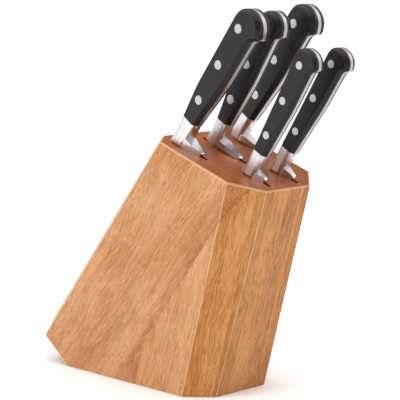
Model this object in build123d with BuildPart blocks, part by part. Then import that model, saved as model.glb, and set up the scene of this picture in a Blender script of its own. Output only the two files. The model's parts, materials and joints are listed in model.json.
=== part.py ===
"""Knife block with five full-tang kitchen knives, in millimetres.

+Z is up and the front of the block, towards which the handles lean, faces -Y.
The origin is the middle of the block's base. The block is laminated from upright
boards; thin spacer strips between them leave one open slot for each blade.
"""
from build123d import *
from math import cos, radians, sin, tan
import os

# ---------------------------------------------------------------- block dimensions
WIDTH = 90.0  # across the block, along X
BASE_DEPTH = 154.0  # of the face it stands on, along Y
FRONT_TOP_HEIGHT = 162.8  # of the front edge of the top face
TOP_DEPTH = 105.9  # along the tilted top face, front edge to back edge
FRONT_LEAN = 16.7  # degrees from upright, front face
TOP_TILT = 18.8  # degrees, the top face rises to the back
BACK_LEAN = 41.6  # degrees from upright, back face
END_RISE = 36.1  # degrees, square-cut end of the boards above the base
EDGE_ROUND = 1.8
BASE_EDGE_ROUND = 0.8

# Corner chamfers are planes that run slightly out of parallel with the edges they cut.
FRONT_CHAMFER_TOP = (21.3, 20.0)  # taken off the width and the depth at the top
FRONT_CHAMFER_FOOT = 18.5  # taken off the width at the base
BACK_CHAMFER_TOP = (12.2, 9.6)
BACK_CHAMFER_END = 15.5  # taken off the depth at the square-cut end

# The side boards are glued up from a rear and a front plank along a sloping joint.
PLANK_JOINT_FOOT = 13.6  # Y where the joint meets the base
PLANK_JOINT_LEAN = 38.5

SLOT_WIDTH = 2.8

# ---------------------------------------------------------------- knife dimensions
SEAT_GAP = 0.05  # between a bolster and the top face it rests on
PULL_CLEARANCE = 12.0  # tip to slot mouth when a knife is drawn all the way
BLADE_SPINE = 2.2  # blade thickness at the spine, at the bolster
BLADE_TIP_SPINE = 1.0  # blade thickness at the spine, at the tip
BLADE_EDGE = 0.35  # blade thickness at the cutting edge
BLADE_ROOT = 2.0  # the blade starts this far under the tip of the guard
HEEL_STEP = 0.4  # the heel of the blade stands back from the guard's tip by this
GRIND_START = 0.35  # of the blade's width, where the flat grind begins
BELLY_SPOTS = (0.38, 0.72)  # of the blade's length, where belly_width is given
BELLY_ENDS = [(0, -1), (-1, -0.9)]  # direction of the cutting edge at the heel and tip
SPINE_DROP = 0.45  # of the blade's length from the tip, where the spine begins to drop
SPINE_ENDS = [(-0.06, 1), (0, 1)]  # direction of the spine at the tip and at the drop
SERRATION_PITCH = 6.0
SERRATION_RADIUS = 3.3
SERRATION_DEPTH = 1.1
SERRATED_LENGTH = 0.8  # of the blade

JOINT_SLANT = 3.0  # degrees, joint between bolster and scales
SCALE_STEP = 1.0  # scales stand square to the tang this far before their bevel
RIVET_PROUD = 0.08
RIVET_CHAMFER = 0.25
SOLE_BEVEL = (1.6, 2.0)  # taken off the bolster's lower edge, across and up
SOLE_ROUND = 2.5  # of that edge
SOLE_SPREAD = 0.5  # the cut for it starts this far outside the bolster's side
FOLD_ROUND = 0.8  # where the guard's top leaves the collar
GUARD_FOOT = -10.0  # the guard is first made down to here, then cut off at its sole
GUARD_ROUNDS = (4.0, 0.8)  # plan rounding at root and tip, in half thicknesses of the tip
REACH = 60.0  # cuts and limits that pass right through a knife run this far

# Outline points are (towards the cutting edge, up the handle) from the point where
# the line of the rivets crosses the top face. Half thicknesses are given at the
# collar and at the butt, because the handle swells towards the butt. The bevel of a
# scale is face_bevel wide, and ridge_round softens its edge with the scale's flat.
LARGE = {
    "tang": 3.2,
    "half_at_collar": 6.0,
    "half_at_butt": 7.9,
    "face_bevel": 2.5,
    "ridge_round": 0.6,
    "rivet_radius": 3.6,
    "first_rivet": 44.0,
    "rivet_pitch": 34.2,
    "collar_top": 24.3,
    "collar_round": 3.7,
    "guard_root": 10.6,
    "guard_tip": 3.6,
    "outline": [
        (-7.4, 22.0),
        (-10.3, 52.0),
        (-10.0, 130.1),
        (14.7, 130.1),
        (19.6, 116.6),
        (13.3, 111.4),
        (12.9, 70.0),
        (7.9, 22.0),
    ],
    "outline_radii": [100.0, 14.0, 14.4, 3.2, 7.0, 150.0],
}
SMALL = {
    "tang": 2.8,
    "half_at_collar": 5.3,
    "half_at_butt": 5.9,
    "face_bevel": 2.2,
    "ridge_round": 0.4,
    "rivet_radius": 3.1,
    "first_rivet": 37.2,
    "rivet_pitch": 30.7,
    "collar_top": 21.6,
    "collar_round": 3.8,
    "guard_root": 7.6,
    "guard_tip": 3.0,
    "outline": [
        (-7.0, 19.0),
        (-7.7, 70.0),
        (-8.9, 112.4),
        (11.0, 112.4),
        (14.4, 103.0),
        (10.4, 99.0),
        (10.0, 66.0),
        (6.2, 19.0),
    ],
    "outline_radii": [200.0, 10.5, 11.0, 3.0, 6.0, 150.0],
}


def resized(grip, along, across, **changes):
    """A grip with its outline shortened and narrowed, and other sizes changed."""
    outline = [(w * across, up * along) for w, up in grip["outline"]]
    radii = [radius * across for radius in grip["outline_radii"]]
    return {**grip, "outline": outline, "outline_radii": radii, **changes}


MEDIUM = resized(
    LARGE, 0.94, 0.845, first_rivet=43.2, rivet_pitch=32.0, collar_top=23.2, face_bevel=2.2
)
SMALL_LONG = resized(SMALL, 1.018, 1.0, first_rivet=39.1, rivet_pitch=30.9, collar_top=22.2)

# slot_x: slot centre; axis_at: distance of the rivet line from the front edge of the
# top face; slot: its two ends on the top face; spine, heel: the blade's two sides from
# the rivet line; back, front: the collar's two sides, at the wood or the fold and under
# the scales; fold_up, tip_up: height of the finger guard at the collar and at the heel;
# sole: height of the bolster's sole above the wood, at the spine and at the heel.
KNIVES = [
    {
        "name": "carving_knife",
        "grip": LARGE,
        "slot_x": -30.0,
        "lean": 37.8,
        "axis_at": 90.2,
        "slot": (58.6, 96.8),
        "spine": -4.4,
        "heel": 24.2,
        "back": (-4.6, -6.8),
        "front": (8.0, 7.4),
        "fold_up": 10.8,
        "tip_up": 11.3,
        "tip_round": 1.2,
        "sole": (0.0, 0.0),
        "blade": 196.0,
        "belly_width": (0.91, 0.55),
        "tip_drop": 1.0,
        "serrated": False,
    },
    {
        "name": "utility_knife",
        "grip": SMALL,
        "slot_x": -13.5,
        "lean": 31.6,
        "axis_at": 26.8,
        "slot": (6.4, 34.4),
        "spine": -5.2,
        "heel": 14.0,
        "back": (-6.8, -7.0),
        "front": (5.2, 5.8),
        "fold_up": 5.9,
        "tip_up": 7.6,
        "tip_round": 2.0,
        "sole": (0.0, 0.0),
        "blade": 130.0,
        "belly_width": (0.92, 0.6),
        "tip_drop": 2.0,
        "serrated": False,
    },
    {
        "name": "chef_knife",
        "grip": MEDIUM,
        "slot_x": -0.5,
        "lean": 31.8,
        "axis_at": 81.1,
        "slot": (44.5, 94.2),
        "spine": -5.6,
        "heel": 28.2,
        "back": (-6.1, -6.2),
        "front": (7.6, 6.7),
        "fold_up": 9.0,
        "tip_up": 8.8,
        "tip_round": 1.2,
        "sole": (3.0, 0.0),
        "blade": 198.0,
        "belly_width": (0.94, 0.72),
        "tip_drop": 3.0,
        "serrated": False,
    },
    {
        "name": "paring_knife",
        "grip": SMALL_LONG,
        "slot_x": 16.0,
        "lean": 33.9,
        "axis_at": 27.2,
        "slot": (6.2, 34.0),
        "spine": -4.4,
        "heel": 15.6,
        "back": (-6.0, -6.9),
        "front": (5.8, 6.0),
        "fold_up": 8.0,
        "tip_up": 7.9,
        "tip_round": 2.4,
        "sole": (0.0, 0.0),
        "blade": 95.0,
        "belly_width": (0.94, 0.7),
        "tip_drop": 5.0,
        "serrated": False,
    },
    {
        "name": "bread_knife",
        "grip": LARGE,
        "slot_x": 30.5,
        "lean": 35.8,
        "axis_at": 88.6,
        "slot": (58.6, 95.8),
        "spine": -5.4,
        "heel": 22.6,
        "back": (-5.6, -6.8),
        "front": (7.0, 7.4),
        "fold_up": 9.5,
        "tip_up": 10.3,
        "tip_round": 1.2,
        "sole": (0.0, 2.6),
        "blade": 198.0,
        "belly_width": (0.98, 0.9),
        "tip_drop": 0.5,
        "serrated": True,
    },
]

os.makedirs("parts", exist_ok=True)


def save(piece, name):
    """Label a finished piece and write it as the node of that name."""
    piece.part.label = name
    export_step(piece.part, f"parts/{name}.step")


# ---------------------------------------------------------------- block outline
FRONT_FOOT_Y = -BASE_DEPTH / 2
BACK_FOOT_Y = BASE_DEPTH / 2
FRONT_TOP = (FRONT_FOOT_Y - FRONT_TOP_HEIGHT * tan(radians(FRONT_LEAN)), FRONT_TOP_HEIGHT)
BACK_TOP = (
    FRONT_TOP[0] + TOP_DEPTH * cos(radians(TOP_TILT)),
    FRONT_TOP[1] + TOP_DEPTH * sin(radians(TOP_TILT)),
)
END_HEIGHT = (BACK_TOP[0] + BACK_TOP[1] * tan(radians(BACK_LEAN)) - BACK_FOOT_Y) / (
    1 / tan(radians(END_RISE)) + tan(radians(BACK_LEAN))
)
END_TOP = (BACK_FOOT_Y + END_HEIGHT / tan(radians(END_RISE)), END_HEIGHT)
HALF = WIDTH / 2


def plane_through(a, b, c):
    """Plane through three points, its normal pointing away from the block's middle."""
    a, b, c = Vector(*a), Vector(*b), Vector(*c)
    normal = (b - a).cross(c - a).normalized()
    middle = Vector(0, 0, FRONT_TOP_HEIGHT / 2)
    if normal.dot(a - middle) < 0:
        normal = -normal
    return Plane(origin=a, x_dir=b - a, z_dir=normal)


def corner_chamfers(side):
    """The front and back chamfer planes at one side, side being -1 or +1."""
    top_rise = tan(radians(TOP_TILT))
    end_rise = tan(radians(END_RISE))
    front_x, front_y = FRONT_CHAMFER_TOP
    front = plane_through(
        (side * (HALF - front_x), FRONT_TOP[0], FRONT_TOP[1]),
        (side * HALF, FRONT_TOP[0] + front_y, FRONT_TOP[1] + front_y * top_rise),
        (side * (HALF - FRONT_CHAMFER_FOOT), FRONT_FOOT_Y, 0),
    )
    back_x, back_y = BACK_CHAMFER_TOP
    back = plane_through(
        (side * (HALF - back_x), BACK_TOP[0], BACK_TOP[1]),
        (side * HALF, BACK_TOP[0] - back_y, BACK_TOP[1] - back_y * top_rise),
        (side * HALF, END_TOP[0] - BACK_CHAMFER_END, END_TOP[1] - BACK_CHAMFER_END * end_rise),
    )
    return front, back


with BuildPart() as outer:
    with BuildSketch(Plane.YZ) as side_profile:
        with BuildLine():
            Polyline(
                (FRONT_FOOT_Y, 0),
                FRONT_TOP,
                BACK_TOP,
                END_TOP,
                (BACK_FOOT_Y, 0),
                close=True,
            )
        make_face()
    extrude(amount=HALF, both=True)
    for side in (-1, 1):
        for chamfer_plane in corner_chamfers(side):
            split(bisect_by=chamfer_plane, keep=Keep.BOTTOM)
    fillet(outer.edges() - outer.faces().sort_by(Axis.Z)[0].edges(), radius=EDGE_ROUND)
    fillet(outer.faces().sort_by(Axis.Z)[0].edges(), radius=BASE_EDGE_ROUND)


def block_piece(name, x_from, x_to, cuts=()):
    """One board or strip: a slice of the block's outline, cut back to a plane's side."""
    with BuildPart() as piece:
        with BuildSketch(Plane.YZ.offset(x_from)):
            Rectangle(4 * BASE_DEPTH, 4 * BASE_DEPTH)
        extrude(amount=x_to - x_from)
        add(outer.part, mode=Mode.INTERSECT)
        for cut_plane, kept_side in cuts:
            split(bisect_by=cut_plane, keep=kept_side)
    save(piece, name)


# ---------------------------------------------------------------- knife frames
class KnifeFrame:
    """Where one knife stands: its axis up the handle and its edge direction."""

    def __init__(self, knife):
        lean = radians(knife["lean"])
        tilt = radians(TOP_TILT)
        self.x = knife["slot_x"]
        self.axis = Vector(0, -sin(lean), cos(lean))
        self.edge = Vector(0, -cos(lean), -sin(lean))
        self.seat_slope = tan(lean - tilt)
        self.seat_scale = cos(lean - tilt)
        self.origin = Vector(
            self.x,
            FRONT_TOP[0] + knife["axis_at"] * cos(tilt),
            FRONT_TOP[1] + knife["axis_at"] * sin(tilt),
        )

    def point(self, across, up):
        return self.origin + self.edge * across + self.axis * up

    def side(self, offset=0.0):
        """Plane of the blade, seen from -X; offset moves it towards -X."""
        return Plane(
            origin=self.origin - Vector(offset, 0, 0), x_dir=self.edge, z_dir=(-1, 0, 0)
        )

    def section(self, up):
        """Plane square to the handle at a height above the top face."""
        return Plane(origin=self.point(0, up), x_dir=self.edge, z_dir=self.axis)

    def cross(self, across):
        """Plane square to the edge direction."""
        return Plane(origin=self.point(across, 0), x_dir=self.axis, z_dir=self.edge)

    def slanted(self, across, up, slope):
        """Plane across the knife through a point, rising towards the edge by slope."""
        normal = (self.axis - self.edge * slope).normalized()
        return Plane(origin=self.point(across, up), x_dir=(1, 0, 0), z_dir=normal)

    def front_view(self, lift):
        """Plane square to the slot, its Y the height above the wood less lift."""
        tilt = radians(TOP_TILT)
        up = Vector(0, -sin(tilt), cos(tilt))
        return Plane(
            origin=self.origin + up * lift, x_dir=(1, 0, 0), z_dir=(0, -cos(tilt), -sin(tilt))
        )

    def flat(self, grip, side, proud=0.0):
        """Outer face of one scale, which leans out towards the butt."""
        butt_up = grip["outline"][2][1]
        rise = butt_up - grip["collar_top"]
        swell = (grip["half_at_butt"] - grip["half_at_collar"]) / rise
        start = self.point(0, grip["collar_top"])
        out = Vector(side * (grip["half_at_collar"] + proud), 0, 0)
        normal = (Vector(side, 0, 0) - self.axis * swell).normalized()
        return Plane(origin=start + out, x_dir=self.edge, z_dir=normal)


def slot_walls(knife, frame):
    """Distances of the slot's front and rear walls from the rivet line."""
    front_end, rear_end = knife["slot"]
    front = (knife["axis_at"] - front_end) * frame.seat_scale
    rear = (knife["axis_at"] - rear_end) * frame.seat_scale
    return front, rear


# ---------------------------------------------------------------- knife pieces
def grip_outline(grip):
    """Closed outline shared by the tang and both scales, inside a BuildLine."""
    FilletPolyline(*grip["outline"], radius=grip["outline_radii"])
    Line(grip["outline"][-1], grip["outline"][0])


def rivet_spots(grip):
    return [(0, grip["first_rivet"] + grip["rivet_pitch"] * i) for i in range(3)]


def scale_joint(grip, frame):
    """Plane where the scales stand on the bolster."""
    return frame.slanted(0, grip["collar_top"], tan(radians(JOINT_SLANT)))


def wedge(half_near, half_far, near, far):
    """Closed outline of a taper between two half thicknesses, inside a BuildLine."""
    Polyline((near, -half_near), (far, -half_far), (far, half_far), (near, half_near), close=True)


def blade(knife, frame):
    """Blade with a flat grind: thick at the spine, thin at the edge and the tip."""
    spine, heel = knife["spine"], knife["heel"] - HEEL_STEP
    width, length = heel - spine, knife["blade"]
    top = knife["tip_up"] - BLADE_ROOT
    tip_up = heel * frame.seat_slope - length
    tip = (spine + knife["tip_drop"], tip_up)
    belly = [
        (spine + width * part, tip_up + length * (1 - spot))
        for spot, part in zip(BELLY_SPOTS, knife["belly_width"])
    ]
    drop_from = (spine, tip_up + length * SPINE_DROP)
    with BuildPart() as piece:
        with BuildSketch(frame.side()):
            with BuildLine():
                Polyline((spine, top), (heel, top), (heel, 0))
                Spline((heel, 0), *belly, tip, tangents=BELLY_ENDS)
                Spline(tip, drop_from, tangents=SPINE_ENDS)
                Line(drop_from, (spine, top))
            make_face()
        extrude(amount=BLADE_SPINE, both=True)
        if knife["serrated"]:
            count = int(SERRATED_LENGTH * length / SERRATION_PITCH)
            bite_at = heel + SERRATION_RADIUS - SERRATION_DEPTH
            with BuildSketch(frame.side()):
                with Locations((bite_at, -SERRATION_PITCH * (count + 1) / 2)):
                    with GridLocations(1, SERRATION_PITCH, 1, count):
                        Circle(SERRATION_RADIUS)
            extrude(amount=BLADE_SPINE, both=True, mode=Mode.SUBTRACT)
        # Wedge across the blade, and a finer one along it.
        with BuildSketch(frame.section(top + 1)):
            with BuildLine():
                wedge(BLADE_SPINE / 2, BLADE_EDGE / 2, spine + width * GRIND_START, heel)
            make_face()
            with Locations((spine, 0)):
                Rectangle(2 * width * GRIND_START, BLADE_SPINE)
        extrude(amount=tip_up - top - 2, mode=Mode.INTERSECT)
        with BuildSketch(frame.cross(spine - 1)):
            with BuildLine():
                wedge(BLADE_TIP_SPINE / 2, BLADE_SPINE / 2, tip_up - 1, 0)
            make_face()
            with Locations((top / 2, 0)):
                Rectangle(top + 2, BLADE_SPINE)
        extrude(amount=width + 2, mode=Mode.INTERSECT)
    return piece.part


def finger_guard(knife, frame):
    """Guard that runs from under the collar to the heel, tapering to its tip."""
    back, front = knife["back"][0], knife["front"][0]
    heel, fold_up = knife["heel"], knife["fold_up"]
    root, tip = knife["grip"]["guard_root"] / 2, knife["grip"]["guard_tip"] / 2
    root_round, tip_round = (part * tip for part in GUARD_ROUNDS)
    with BuildPart() as guard:
        with BuildSketch(frame.side()):
            with BuildLine():
                Polyline((heel, GUARD_FOOT), (back, GUARD_FOOT), (back, fold_up))
                FilletPolyline(
                    (back, fold_up),
                    (front, fold_up),
                    (heel, knife["tip_up"]),
                    (heel, GUARD_FOOT),
                    radius=[FOLD_ROUND, knife["tip_round"]],
                )
            make_face()
        extrude(amount=root, both=True)
        with BuildSketch(frame.section(GUARD_FOOT)):
            with BuildLine():
                Line((back, root), (back, -root))
                FilletPolyline(
                    (back, -root),
                    (front, -root),
                    (heel, -tip),
                    (heel, tip),
                    (front, root),
                    (back, root),
                    radius=[root_round, tip_round, tip_round, root_round],
                )
            make_face()
        extrude(amount=fold_up - 2 * GUARD_FOOT, mode=Mode.INTERSECT)
    return guard.part


def forging(knife, frame):
    """Blade, bolster with finger guard, and full tang, forged in one piece."""
    grip = knife["grip"]
    half = grip["half_at_collar"]
    widest = half + SOLE_SPREAD
    sole_half, sole_top = widest - SOLE_BEVEL[0], SOLE_BEVEL[1]
    with BuildPart() as piece:
        # Collar: rounded sections square to the handle, from the wood to the scales.
        for up, back, front in zip((0, grip["collar_top"]), knife["back"], knife["front"]):
            with BuildSketch(frame.section(up)):
                with Locations(((back + front) / 2, 0)):
                    RectangleRounded(front - back, 2 * half, grip["collar_round"])
        loft()
        extrude(piece.faces().sort_by(Axis.Z)[-1], amount=2)
        extrude(piece.faces().sort_by(Axis.Z)[0], amount=-GUARD_FOOT)
        add(finger_guard(knife, frame))
        # Seen from the front, the bolster is rounded along both sides of its sole.
        with BuildSketch(frame.front_view(sum(knife["sole"]) / 2)):
            with BuildLine():
                FilletPolyline(
                    (sole_half, 0), (widest, sole_top), (widest, REACH), radius=SOLE_ROUND
                )
                Polyline((widest, REACH), (0, REACH), (0, GUARD_FOOT))
                Polyline((0, GUARD_FOOT), (sole_half, GUARD_FOOT), (sole_half, 0))
            make_face()
            mirror(about=Plane.YZ)
        extrude(amount=REACH, both=True, mode=Mode.INTERSECT)
        split(bisect_by=scale_joint(grip, frame), keep=Keep.BOTTOM)
        rear_lift, front_lift = knife["sole"]
        spine, heel = knife["spine"], knife["heel"]
        sole_slope = frame.seat_slope + (front_lift - rear_lift) / (heel - spine)
        sole_rear = frame.seat_slope * spine + rear_lift + SEAT_GAP / frame.seat_scale
        split(bisect_by=frame.slanted(spine, sole_rear, sole_slope), keep=Keep.TOP)
        with BuildSketch(frame.side()):
            with BuildLine():
                grip_outline(grip)
            make_face()
        extrude(amount=grip["tang"] / 2, both=True)
        add(blade(knife, frame))
        with BuildSketch(frame.side()):
            with Locations(*rivet_spots(grip)):
                Circle(grip["rivet_radius"])
        extrude(amount=grip["tang"], both=True, mode=Mode.SUBTRACT)
    save(piece, knife["name"] + "_blade")


def scales(knife, frame):
    """The two handle scales: the left one, and its mirror image on the right."""
    grip = knife["grip"]
    half_tang = grip["tang"] / 2
    bevel_depth = grip["half_at_collar"] - half_tang - SCALE_STEP
    with BuildPart() as left:
        with BuildSketch(frame.side(half_tang)):
            with BuildLine():
                grip_outline(grip)
            make_face()
        extrude(amount=grip["half_at_butt"])
        split(bisect_by=frame.flat(grip, -1), keep=Keep.BOTTOM)
        # All edges of the flat are bevelled but the lowest, which the joint cuts away.
        flat = left.faces().sort_by(Axis.X)[0]
        chamfer(
            flat.edges().sort_by(Axis.Z)[1:],
            length=grip["face_bevel"],
            length2=bevel_depth,
            reference=flat,
        )
        ridge = left.faces().sort_by(Axis.X)[0].edges().sort_by(Axis.Z)[1:]
        fillet(ridge, radius=grip["ridge_round"])
        split(bisect_by=scale_joint(grip, frame), keep=Keep.TOP)
        with BuildSketch(frame.side()):
            with Locations(*rivet_spots(grip)):
                Circle(grip["rivet_radius"])
        extrude(amount=2 * grip["half_at_butt"], mode=Mode.SUBTRACT)
    with BuildPart() as right:
        mirror(left.part, about=Plane(origin=frame.origin, z_dir=(1, 0, 0)))
    save(left, knife["name"] + "_left_scale")
    save(right, knife["name"] + "_right_scale")


def rivets(knife, frame):
    """Three through rivets, their heads a hair proud of the scales."""
    grip = knife["grip"]
    with BuildPart() as piece:
        with BuildSketch(frame.side()):
            with Locations(*rivet_spots(grip)):
                Circle(grip["rivet_radius"])
        extrude(amount=grip["half_at_butt"] + 1, both=True)
        for side in (-1, 1):
            split(bisect_by=frame.flat(grip, side, RIVET_PROUD), keep=Keep.BOTTOM)
        chamfer(piece.faces().filter_by(GeomType.PLANE).edges(), length=RIVET_CHAMFER)
    save(piece, knife["name"] + "_rivets")


# ---------------------------------------------------------------- block pieces
def plank_joint():
    lean = radians(PLANK_JOINT_LEAN)
    return Plane(
        origin=(0, PLANK_JOINT_FOOT, 0), x_dir=(1, 0, 0), z_dir=(0, cos(lean), sin(lean))
    )


slots = sorted(knife["slot_x"] for knife in KNIVES)
left_slot_wall = slots[0] - SLOT_WIDTH / 2
right_slot_wall = slots[-1] + SLOT_WIDTH / 2
for side_name, x_from, x_to in (
    ("left", -HALF, left_slot_wall),
    ("right", right_slot_wall, HALF),
):
    for plank, kept in (("rear", Keep.TOP), ("front", Keep.BOTTOM)):
        block_piece(f"{side_name}_side_board_{plank}", x_from, x_to, [(plank_joint(), kept)])

for number, (left, right) in enumerate(zip(slots, slots[1:]), start=1):
    block_piece(f"inner_board_{number}", left + SLOT_WIDTH / 2, right - SLOT_WIDTH / 2)

for knife in KNIVES:
    frame = KnifeFrame(knife)
    front_wall, rear_wall = slot_walls(knife, frame)
    x_from = frame.x - SLOT_WIDTH / 2
    x_to = frame.x + SLOT_WIDTH / 2
    slot_name = knife["name"].replace("knife", "slot")
    block_piece(f"{slot_name}_front_strip", x_from, x_to, [(frame.cross(front_wall), Keep.TOP)])
    block_piece(f"{slot_name}_rear_strip", x_from, x_to, [(frame.cross(rear_wall), Keep.BOTTOM)])
    forging(knife, frame)
    scales(knife, frame)
    rivets(knife, frame)
    pull = knife["blade"] + PULL_CLEARANCE
    print(knife["name"], "axis", [round(v, 6) for v in frame.axis], "travel", pull)
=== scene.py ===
"""Looks for the knife block: wood, steel and handle materials, studio and camera."""
import json
import math

import bpy
from mathutils import Matrix, Vector


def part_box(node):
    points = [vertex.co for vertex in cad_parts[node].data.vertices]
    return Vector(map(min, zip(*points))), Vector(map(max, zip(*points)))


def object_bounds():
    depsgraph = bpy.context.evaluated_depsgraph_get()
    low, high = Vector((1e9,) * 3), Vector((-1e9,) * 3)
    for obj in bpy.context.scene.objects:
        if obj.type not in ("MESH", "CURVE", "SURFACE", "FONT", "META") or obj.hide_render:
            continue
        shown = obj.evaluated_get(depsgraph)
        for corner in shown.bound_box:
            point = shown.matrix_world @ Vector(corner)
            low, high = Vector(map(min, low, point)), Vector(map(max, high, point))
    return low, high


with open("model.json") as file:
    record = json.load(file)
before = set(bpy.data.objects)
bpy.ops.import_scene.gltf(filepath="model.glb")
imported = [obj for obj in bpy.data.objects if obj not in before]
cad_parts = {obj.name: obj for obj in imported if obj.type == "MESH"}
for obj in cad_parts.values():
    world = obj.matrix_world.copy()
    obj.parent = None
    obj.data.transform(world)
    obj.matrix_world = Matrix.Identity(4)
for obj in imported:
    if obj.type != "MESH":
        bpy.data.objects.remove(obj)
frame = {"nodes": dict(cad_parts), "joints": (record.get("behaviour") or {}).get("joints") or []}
cad_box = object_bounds()

scene = bpy.context.scene
scene.view_settings.view_transform = "Standard"

X_AXIS = Vector((1, 0, 0))
Z_AXIS = Vector((0, 0, 1))


def leaning(angle):
    """Direction that leans forward from upright by an angle."""
    return Vector((0, -math.sin(angle), math.cos(angle)))


def square_to(angle):
    """Direction square to leaning(angle), towards the back."""
    return Vector((0, math.cos(angle), math.sin(angle)))


# ---------------------------------------------------------------- node helpers


def rgba(colour):
    return (*colour, 1.0)


class Graph:
    """A node tree, with short calls for the nodes used here."""

    def __init__(self, tree):
        self.tree = tree

    def new(self, kind, **settings):
        made = self.tree.nodes.new(kind)
        for key, value in settings.items():
            setattr(made, key, value)
        return made

    def put(self, socket, value):
        """Link a socket to another one, or give it a constant."""
        if isinstance(value, bpy.types.NodeSocket):
            self.tree.links.new(value, socket)
        elif socket.type == "RGBA":
            socket.default_value = rgba(value)
        else:
            socket.default_value = value

    def fill(self, node, **inputs):
        """Put values in a node's inputs, whose names have _ for each space."""
        for key, value in inputs.items():
            self.put(node.inputs[key.replace("_", " ")], value)

    def math(self, operation, *values):
        made = self.new("ShaderNodeMath", operation=operation)
        for socket, value in zip(made.inputs, values):
            self.put(socket, value)
        return made.outputs[0]

    def vector_math(self, operation, *values):
        made = self.new("ShaderNodeVectorMath", operation=operation)
        for socket, value in zip(made.inputs, values):
            self.put(socket, value)
        return made

    def dot(self, vector, direction):
        return self.vector_math("DOT_PRODUCT", vector, direction).outputs["Value"]

    def span(self, value, low, high):
        """Smooth step: 0 at low, 1 at high, either of which may be the larger."""
        made = self.new("ShaderNodeMapRange", interpolation_type="SMOOTHSTEP")
        self.fill(made, Value=value, From_Min=low, From_Max=high)
        return made.outputs[0]

    def vary(self, value, centre, spread):
        """Remap a 0..1 value to centre plus or minus spread."""
        return self.math("MULTIPLY_ADD", value, 2 * spread, centre - spread)

    def mix(self, factor, a, b, blend="MIX"):
        made = self.new("ShaderNodeMix", data_type="RGBA", blend_type=blend)
        self.put(made.inputs["Factor"], factor)
        first, second = (socket for socket in made.inputs if socket.type == "RGBA")
        self.put(first, a)
        self.put(second, b)
        return next(socket for socket in made.outputs if socket.type == "RGBA")

    def stain(self, factor, colour, share):
        """Darken a colour to a share of each of its channels."""
        return self.mix(factor, colour, share, "MULTIPLY")

    def ramp(self, factor, stops):
        """Colour along a scale, from stops that are each a place on it and a colour."""
        made = self.new("ShaderNodeValToRGB")
        elements = made.color_ramp.elements
        elements.remove(elements[-1])
        elements[0].position, first = stops[0]
        elements[0].color = rgba(first)
        for place, colour in stops[1:]:
            elements.new(place).color = rgba(colour)
        self.put(made.inputs[0], factor)
        return made.outputs[0]

    def place(self, lean=0.0, shift=(0, 0, 0)):
        """Object coordinates in metres, turned so that Z runs along leaning(lean)."""
        made = self.new("ShaderNodeMapping")
        source = self.new("ShaderNodeTexCoord").outputs["Object"]
        self.fill(made, Vector=source, Rotation=(-lean, 0, 0), Location=shift)
        return made.outputs[0]

    def noise_node(self, place, divisions, detail=2, roughness=0.5):
        """Noise that divides each direction of a place so many times per metre."""
        finer = self.vector_math("MULTIPLY", place, divisions).outputs["Vector"]
        made = self.new("ShaderNodeTexNoise")
        self.fill(made, Vector=finer, Scale=1.0, Detail=detail, Roughness=roughness)
        return made

    def noise(self, *settings):
        return self.noise_node(*settings).outputs[0]

    def bump(self, height, strength, distance):
        made = self.new("ShaderNodeBump")
        self.fill(made, Strength=strength, Distance=distance, Height=height)
        return made.outputs[0]


class Look(Graph):
    """A new material: one Principled shader and the nodes that feed it."""

    def __init__(self, name):
        self.material = bpy.data.materials.new(name)
        self.material.use_nodes = True
        super().__init__(self.material.node_tree)
        self.tree.nodes.clear()
        output = self.new("ShaderNodeOutputMaterial")
        self.shader = self.new("ShaderNodeBsdfPrincipled")
        self.tree.links.new(self.shader.outputs[0], output.inputs["Surface"])

    def set(self, **inputs):
        self.fill(self.shader, **inputs)


# ---------------------------------------------------------------- wood

PLANK_JOINT_LEAN = math.radians(38.5)  # glue joint of the side boards, from upright
PLANK_JOINT_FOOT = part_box("left_side_board_front")[1].y  # where it meets the base
FRONT_GRAIN = math.radians(16.7)  # grain of the front planks, inner boards and strips
REAR_GRAIN = math.radians(40.0)  # grain of the rear planks
FIBRE_WANDER = 0.012  # how far the fibres stray from straight
LEAST_FLAT = 0.0030  # square metres, the smallest face counted as one of the flats

WOOD = (0.505, 0.242, 0.100)
DARK_FIGURE = (0.80, 0.65, 0.48)  # shares of the wood's own colour
LIGHT_FIGURE = (1.15, 1.30, 1.50)
PORE = (0.24, 0.085, 0.026)
EDGE_CUT = (1.0, 0.88, 0.64)  # the front and back are cut across the growth rings
END_GRAIN_AND_TOP_SHADE = (0.64, 0.36, 0.15)  # the cut across the fibres drinks varnish and darkens; the colour also carries painted shade that darkens the top face
PAINTED_EDGE_HIGHLIGHT = (0.80, 0.52, 0.30)  # painted highlight: the rounded edges are lightened as if they caught the light
SLOT_PAINTED_SHADE = (0.05, 0.025, 0.015)  # the sawn slot walls are raw; their near-black colour is painted shade

# Noise in the wood: divisions per metre, the last along the fibres, detail, roughness.
BROAD = ((60, 60, 4), 2, 0.5)
STREAK = ((450, 450, 14), 2, 0.6)
FINE = ((1500, 1500, 75), 3, 0.7)
PATCH = ((30, 30, 17), 3, 0.6)
PORES = ((2100, 2100, 170), 1, 0.5)
PORE_GATE = ((150, 150, 30), 1, 0.5)
WANDER = ((45, 45, 15), 1, 0.5)
CLOUD = ((120, 120, 60), 2, 0.5)

# The dark figure beside the glue joint, and the colours it darkens to.
BAND_WIDTH = 0.014  # on the rear plank, square to the joint
BAND_SHADE = (0.86, 0.76, 0.70)
WEDGE_TOP = 0.040  # height at which the figure on the front plank runs out
WEDGE_SHADE = (0.76, 0.60, 0.54)
LINE_HALF_WIDTH = 0.00055
LINE_SHADE = (0.55, 0.42, 0.36)


def wooden(node):
    return "board" in node or "strip" in node


def flat_normals():
    """Directions of the block's flats, so that a material can tell its rounded edges."""
    areas = {}
    for node in filter(wooden, frame["nodes"]):
        for polygon in frame["nodes"][node].data.polygons:
            facing = tuple(round(v, 2) for v in polygon.normal)
            areas[facing] = areas.get(facing, 0) + polygon.area
    return [Vector(facing) for facing, area in sorted(areas.items()) if area > LEAST_FLAT]


FLATS = flat_normals()


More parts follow.
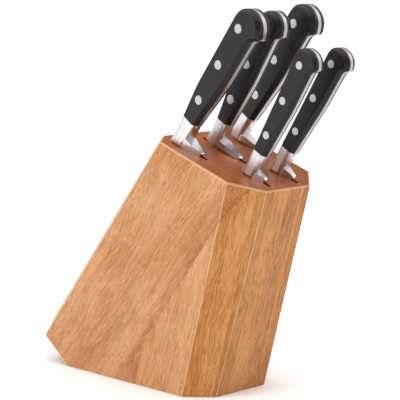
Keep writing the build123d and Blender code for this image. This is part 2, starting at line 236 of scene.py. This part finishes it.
def edge_mask(g, normal):
    """0 on the flats of the block, 1 on the rounding between them."""
    nearest = g.dot(normal, FLATS[0])
    for flat in FLATS[1:]:
        nearest = g.math("MAXIMUM", nearest, g.dot(normal, flat))
    return g.span(nearest, 0.999, 0.955)


def slot_shade_mask(g, normal, sideways, inward):
    """1 on the faces that look into a slot, the strips' ends or the boards' inner sides, where
    the slot's painted shade goes.
    """
    if inward:
        return g.span(g.dot(normal, Vector((0, inward, 0))), 0.70, 0.72)
    skin = cad_box[1].x
    inner = g.span(g.math("ABSOLUTE", g.dot(g.place(), X_AXIS)), skin - 0.0005, skin - 0.0010)
    return g.math("MULTIPLY", g.span(sideways, 0.97, 0.99), inner)


def fibres(g, lean, seed):
    """Places with Z along the fibres: straight ones, and ones that wander a little."""
    straight = g.place(lean, (seed, seed * 0.7, seed * 1.3))
    stray = g.noise_node(straight, *WANDER).outputs["Color"]
    reach = (FIBRE_WANDER, FIBRE_WANDER, 0)
    return straight, g.vector_math("MULTIPLY_ADD", stray, reach, straight).outputs["Vector"]


def joint_figure(g, colour, plank):
    """Darkens a side plank, "rear" or "front", along the glue joint that bounds it."""
    place = g.place()
    cloud = g.noise(place, *CLOUD)
    behind = square_to(PLANK_JOINT_LEAN)
    from_joint = g.math("SUBTRACT", g.dot(place, behind), PLANK_JOINT_FOOT * behind.y)
    if plank == "rear":
        band = g.math("MULTIPLY", g.span(from_joint, BAND_WIDTH, 0), g.span(cloud, 0.30, 0.62))
        colour = g.stain(g.math("MULTIPLY", band, 0.75), colour, BAND_SHADE)
    else:
        # The figure on the front plank is a wedge between the joint and one of its fibres.
        across = square_to(FRONT_GRAIN)
        tip_y = PLANK_JOINT_FOOT - WEDGE_TOP * math.tan(PLANK_JOINT_LEAN)
        tip = Vector((0, tip_y, WEDGE_TOP))
        from_fibre = g.math("SUBTRACT", g.dot(place, across), tip.dot(across))
        wedge = g.span(from_fibre, -0.001, 0.002)
        wedge = g.math("MULTIPLY", wedge, g.span(cloud, 0.22, 0.55))
        colour = g.stain(g.math("MULTIPLY", wedge, 0.9), colour, WEDGE_SHADE)
    line = g.span(g.math("ABSOLUTE", from_joint), LINE_HALF_WIDTH, 0.0001)
    line = g.math("MULTIPLY", line, g.span(cloud, 0.34, 0.60))
    return g.stain(g.math("MULTIPLY", line, 0.8), colour, LINE_SHADE)


def figure_colour(g, layers, sharp, tint):
    """Colour of the growth figure, from layers of noise and their weights."""
    figure = 0.0
    for layer, weight in layers:
        figure = g.math("MULTIPLY_ADD", g.math("SUBTRACT", layer, 0.5), weight, figure)
    tone = g.math("MULTIPLY_ADD", figure, g.math("MULTIPLY_ADD", sharp, 0.5, 1.0), 0.5)
    middle = [c * tint for c in WOOD]
    dark = [c * share for c, share in zip(middle, DARK_FIGURE)]
    light = [c * share for c, share in zip(middle, LIGHT_FIGURE)]
    return g.ramp(tone, [(0.2, dark), (0.5, middle), (0.8, light)])


def wood(name, lean, tint, seed, plank=None, inward=0):
    """Varnished hardwood whose fibres lean forward from upright by an angle.

    A side plank is "rear" or "front". A strip's inward is 1 if its slot is behind it
    and -1 if its slot is in front.
    """
    g = Look(name)
    straight, grain = fibres(g, lean, seed)
    normal = g.new("ShaderNodeNewGeometry").outputs["Normal"]
    sideways = g.math("ABSOLUTE", g.dot(normal, X_AXIS))
    endwise = g.span(g.math("ABSOLUTE", g.dot(normal, leaning(lean))), 0.12, 0.95)
    # The front and back cut the growth rings edge on, and show them more sharply.
    sharp = g.span(sideways, 0.95, 0.70)

    broad, streak, fine = (g.noise(grain, *layer) for layer in (BROAD, STREAK, FINE))
    patch = g.noise(straight, *PATCH)
    layers = ((broad, 0.8), (streak, 0.6), (fine, 2.1), (patch, 1.0))
    colour = g.stain(sharp, figure_colour(g, layers, sharp, tint), EDGE_CUT)

    pores = g.math("MULTIPLY_ADD", g.noise(grain, *PORE_GATE), 0.45, g.noise(grain, *PORES))
    pores = g.math("MULTIPLY", g.span(pores, 0.78, 0.92), g.math("SUBTRACT", 1.0, endwise))
    colour = g.mix(g.math("MULTIPLY", pores, 0.45), colour, PORE)
    # end-grain darkening, partly painted shade on the top face
    colour = g.stain(endwise, colour, END_GRAIN_AND_TOP_SHADE)
    if plank:
        colour = joint_figure(g, colour, plank)
    # painted highlight on the rounded edges of the block
    colour = g.mix(g.math("MULTIPLY", edge_mask(g, normal), 0.5), colour, PAINTED_EDGE_HIGHLIGHT)
    # painted shade inside the slots
    colour = g.mix(slot_shade_mask(g, normal, sideways, inward), colour, SLOT_PAINTED_SHADE)

    height = g.math("MULTIPLY_ADD", pores, -1.0, g.math("MULTIPLY", fine, 0.5))
    g.set(
        Base_Color=colour,
        Roughness=g.vary(streak, 0.42, 0.10),
        Normal=g.bump(height, 0.22, 0.0003),
        Coat_Weight=0.12,
        Coat_Roughness=0.22,
        Coat_IOR=1.45,
        Specular_IOR_Level=0.15,
    )
    return g.material


# ---------------------------------------------------------------- steel and plastic

BLADE_STEEL = (0.69, 0.68, 0.685)
TANG_EDGE_AND_REFLECTION = (0.70, 0.66, 0.63)  # the ground edge of the tang is coarser and duller; its darker, warmer colour is partly a painted reflection of the wood
TANG_BLEND = 0.0005  # half the length over which the finish changes
RIVET_STEEL = (0.50, 0.485, 0.48)
SCALE_DARK = (0.0070, 0.0062, 0.0075)
SCALE_LIGHT = (0.0125, 0.0110, 0.0125)

GROUND = (900, 40, 2200)  # divisions per metre; the grinding lines run across the blade
POLISHED = (900, 900, 900)


def steel(name, colour, rough, lean, lines, strength, tang_from=None):
    """Satin steel, its grinding lines set by how finely each direction is divided.

    Past tang_from, measured along the handle, it is the dull ground edge of a tang, darkened and
    warmed by a painted reflection of the wood.
    """
    g = Look(name)
    place = g.place(lean)
    scratch = g.noise(place, lines, 3, 0.7)
    cloud = g.noise(place, (40, 40, 40))
    shade = g.mix(cloud, [c * 0.93 for c in colour], colour)
    roughness = g.vary(scratch, rough, 0.07)
    if tang_from is not None:
        along = g.dot(g.place(), leaning(lean))
        tang = g.span(along, tang_from - TANG_BLEND, tang_from + TANG_BLEND)
        # painted reflection: the tang's colour is darkened and warmed as if it mirrored the wood
        shade = g.stain(tang, shade, TANG_EDGE_AND_REFLECTION)
        roughness = g.math("MULTIPLY_ADD", tang, 0.12, roughness)
    g.set(
        Base_Color=shade,
        Metallic=1.0,
        Roughness=roughness,
        Normal=g.bump(scratch, strength, 0.0002),
    )
    return g.material


def moulded(name, lean):
    """Black acetal scales, fine moulded texture with a slight satin."""
    g = Look(name)
    place = g.place(lean)
    grit = g.noise(place, (2600, 2600, 2600))
    cloud = g.noise(place, (60, 60, 25), 3)
    g.set(
        Base_Color=g.mix(cloud, SCALE_DARK, SCALE_LIGHT),
        Roughness=g.vary(cloud, 0.36, 0.06),
        Specular_IOR_Level=0.27,
        Normal=g.bump(grit, 0.10, 0.0002),
    )
    return g.material


# ---------------------------------------------------------------- dressing


def assign(node, material):
    mesh = frame["nodes"][node].data
    mesh.materials.clear()
    mesh.materials.append(material)


def dress_block():
    looks = {
        "side_board_rear": wood("wood_side_rear", REAR_GRAIN, 1.0, 0.0, plank="rear"),
        "side_board_front": wood("wood_side_front", FRONT_GRAIN, 1.04, 0.37, plank="front"),
        "front_strip": wood("wood_strip_front", FRONT_GRAIN, 1.04, 0.80, inward=1),
        "rear_strip": wood("wood_strip_rear", FRONT_GRAIN, 0.92, 0.99, inward=-1),
    }
    for i, tint in enumerate((0.96, 1.04, 0.92, 1.0)):
        core = wood(f"wood_core_{i}", FRONT_GRAIN, tint, 0.61 + 0.19 * i)
        looks[f"inner_board_{i + 1}"] = core
    for node in filter(wooden, frame["nodes"]):
        for part, material in looks.items():
            if part in node:
                assign(node, material)


def dress_knives():
    for joint in frame["joints"]:
        knife, axis = joint["child"], Vector(joint["axis"])
        lean = math.atan2(-axis.y, axis.z)
        scale = frame["nodes"][f"{knife}_left_scale"].data
        tang_from = min(vertex.co.dot(axis) for vertex in scale.vertices)
        blade = steel(f"{knife}_steel", BLADE_STEEL, 0.29, lean, GROUND, 0.10, tang_from)
        rivet = steel(f"{knife}_rivet_steel", RIVET_STEEL, 0.32, lean, POLISHED, 0.08)
        black = moulded(f"{knife}_scale_plastic", lean)
        assign(f"{knife}_blade", blade)
        assign(f"{knife}_rivets", rivet)
        assign(f"{knife}_left_scale", black)
        assign(f"{knife}_right_scale", black)


# ---------------------------------------------------------------- studio

CAMERA_AZIMUTH, CAMERA_ELEVATION = math.radians(-44.5), math.radians(8.41)
CAMERA_PLACE = (-0.8991, -0.9473, 0.3340)
CAMERA_LENS, CAMERA_SENSOR = 149.94, 36  # millimetres
HORIZON = 1.10  # brightness of the white band around the horizon
ROOM = 0.50  # brightness of the room between the horizon and the ceiling
DARK_SIDE = 0.30  # brightness of the unlit room behind the camera
CEILING = 2.10  # brightness of the softbox that fills the ceiling
FLOOR_REACH = 40.0
LIT_POINT = (0, -0.02, 0.13)  # what the lamps face, near the object's middle


def floor_material():
    g = Look("studio_floor")
    cloud = g.noise(g.place(), (3, 3, 3))
    g.set(Base_Color=g.mix(cloud, (0.93, 0.93, 0.93), (0.95, 0.95, 0.95)), Roughness=0.9)
    return g.material


def add_floor():
    mesh = bpy.data.meshes.new("studio_floor")
    turns = ((-1, -1), (1, -1), (1, 1), (-1, 1))
    corners = [(x * FLOOR_REACH, y * FLOOR_REACH, 0) for x, y in turns]
    mesh.from_pydata(corners, [], [(0, 1, 2, 3)])
    floor = bpy.data.objects.new("studio_floor", mesh)
    mesh.materials.append(floor_material())
    scene.collection.objects.link(floor)


def add_area(name, location, size, power):
    light = bpy.data.lights.new(name, "AREA")
    light.shape = "RECTANGLE"
    light.size, light.size_y = size
    light.energy = power
    lamp = bpy.data.objects.new(name, light)
    lamp.location = location
    towards = Vector(LIT_POINT) - Vector(location)
    lamp.rotation_euler = towards.to_track_quat("-Z", "Y").to_euler()
    scene.collection.objects.link(lamp)


def add_world():
    """White round the horizon but for the camera's side, with a softbox overhead."""
    world = bpy.data.worlds.new("studio")
    world.use_nodes = True
    g = Graph(world.node_tree)
    facing = g.new("ShaderNodeTexCoord").outputs["Generated"]
    rise = g.dot(facing, Z_AXIS)
    camera_side = Vector((math.sin(CAMERA_AZIMUTH), -math.cos(CAMERA_AZIMUTH), 0))
    band = g.span(g.math("ABSOLUTE", rise), 0.24, 0.10)
    light = g.math("MULTIPLY_ADD", band, HORIZON - ROOM, ROOM)
    dim = g.span(g.dot(facing, camera_side), 0.35, 0.90)
    lit = g.math("SUBTRACT", 1.0, dim)
    light = g.math("ADD", g.math("MULTIPLY", light, lit), g.math("MULTIPLY", dim, DARK_SIDE))
    light = g.math("MULTIPLY_ADD", g.span(rise, 0.60, 0.85), CEILING - ROOM, light)
    g.fill(g.tree.nodes["Background"], Color=(1, 1, 1), Strength=light)
    scene.world = world


def add_camera():
    level = math.cos(CAMERA_ELEVATION)
    away = (math.sin(CAMERA_AZIMUTH) * level, -math.cos(CAMERA_AZIMUTH) * level)
    back = Vector((*away, math.sin(CAMERA_ELEVATION)))
    right = Vector((math.cos(CAMERA_AZIMUTH), math.sin(CAMERA_AZIMUTH), 0))
    turn = Matrix((right, back.cross(right), back)).transposed().to_4x4()
    data = bpy.data.cameras.new("camera")
    data.lens, data.sensor_width = CAMERA_LENS, CAMERA_SENSOR
    camera = bpy.data.objects.new("camera", data)
    camera.matrix_world = Matrix.Translation(CAMERA_PLACE) @ turn
    scene.collection.objects.link(camera)
    scene.camera = camera


dress_block()
dress_knives()
add_floor()
add_world()
add_camera()
add_area("key", (-1.8, 0.5, 1.0), (1.4, 1.2), 17)
add_area("fill", (1.6, -0.9, 1.2), (1.2, 1.2), 8)
